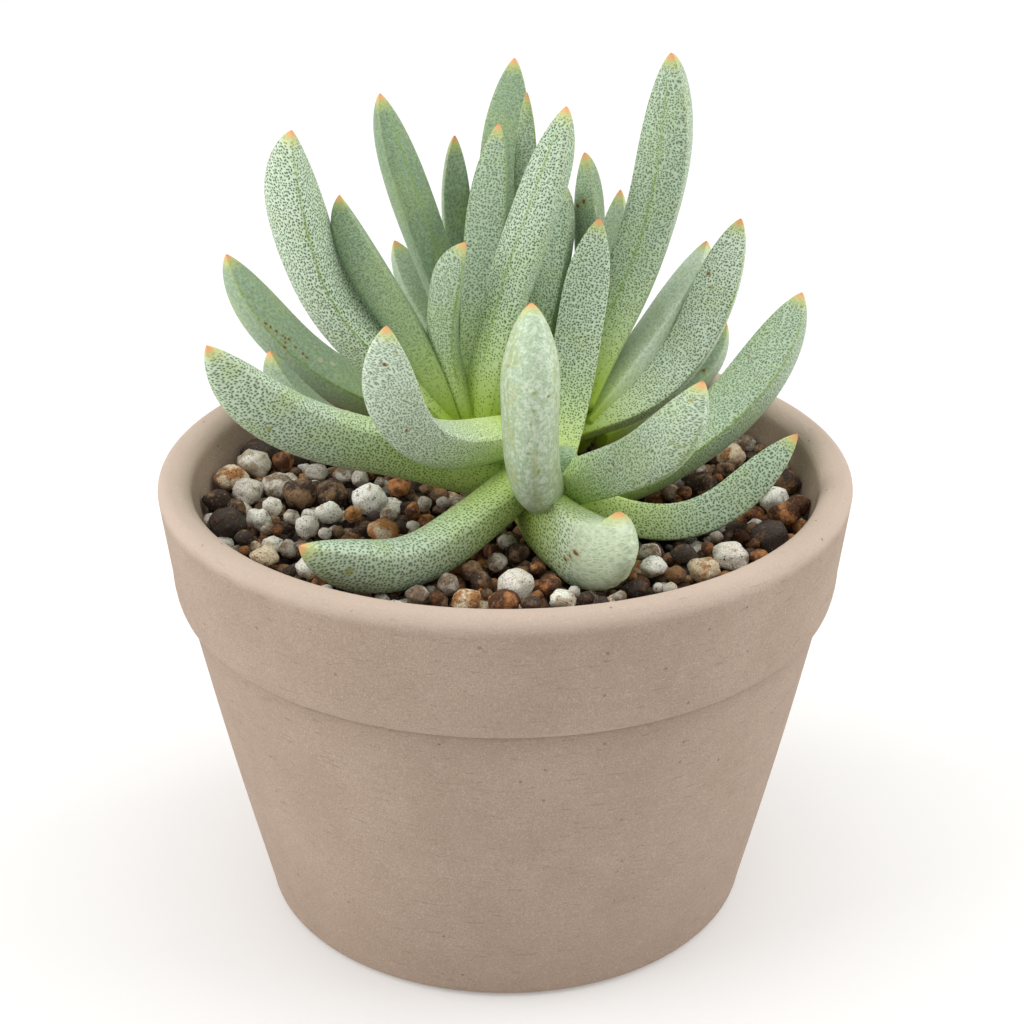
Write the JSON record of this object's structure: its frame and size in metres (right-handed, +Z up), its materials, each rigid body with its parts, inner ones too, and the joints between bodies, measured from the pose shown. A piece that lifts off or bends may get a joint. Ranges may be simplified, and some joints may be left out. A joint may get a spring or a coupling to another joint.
{
  "type": "potted succulent",
  "caption": "Small clump of upright, keeled, finger-like succulent leaves growing from a bed of coarse grit in a squat tapered clay pot with a thick banded rim.",
  "frame": {"origin": "centre of the pot's underside, on the plane the pot stands on", "axes": "+Z up along the pot's axis; the side shown in the picture faces -Y and +X is to its right"},
  "size_m": [0.075, 0.075, 0.0909],
  "materials": {
    "clay": "unglazed fired clay, dry and finely grained",
    "grit": "dry pumice and lava grit, rough",
    "root": "corky tuberous root and short stems, dull",
    "leaf": "waxy blue-green leaf skin, finely dotted, satin"
  },
  "bodies": {
    "root": {"back_head_leaf_1": "leaf", "back_head_leaf_2": "leaf", "back_head_leaf_3": "leaf", "back_head_leaf_4": "leaf", "back_head_leaf_5": "leaf", "back_head_leaf_6": "leaf", "back_head_leaf_7": "leaf", "back_head_leaf_8": "leaf", "back_head_leaf_9": "leaf", "front_head_bud": "leaf", "front_head_leaf_1": "leaf", "front_head_leaf_2": "leaf", "front_head_leaf_3": "leaf", "front_head_leaf_4": "leaf", "front_head_leaf_5": "leaf", "front_head_leaf_6": "leaf", "front_head_leaf_7": "leaf", "front_head_leaf_8": "leaf", "front_head_leaf_9": "leaf", "grit": "grit", "left_head_leaf_1": "leaf", "left_head_leaf_2": "leaf", "left_head_leaf_3": "leaf", "left_head_leaf_4": "leaf", "left_head_leaf_5": "leaf", "left_head_leaf_6": "leaf", "pot": "clay", "right_head_leaf_1": "leaf", "right_head_leaf_2": "leaf", "right_head_leaf_3": "leaf", "right_head_leaf_4": "leaf", "right_head_leaf_5": "leaf", "right_head_leaf_6": "leaf", "rootstock": "root"}
  },
  "joints": []
}
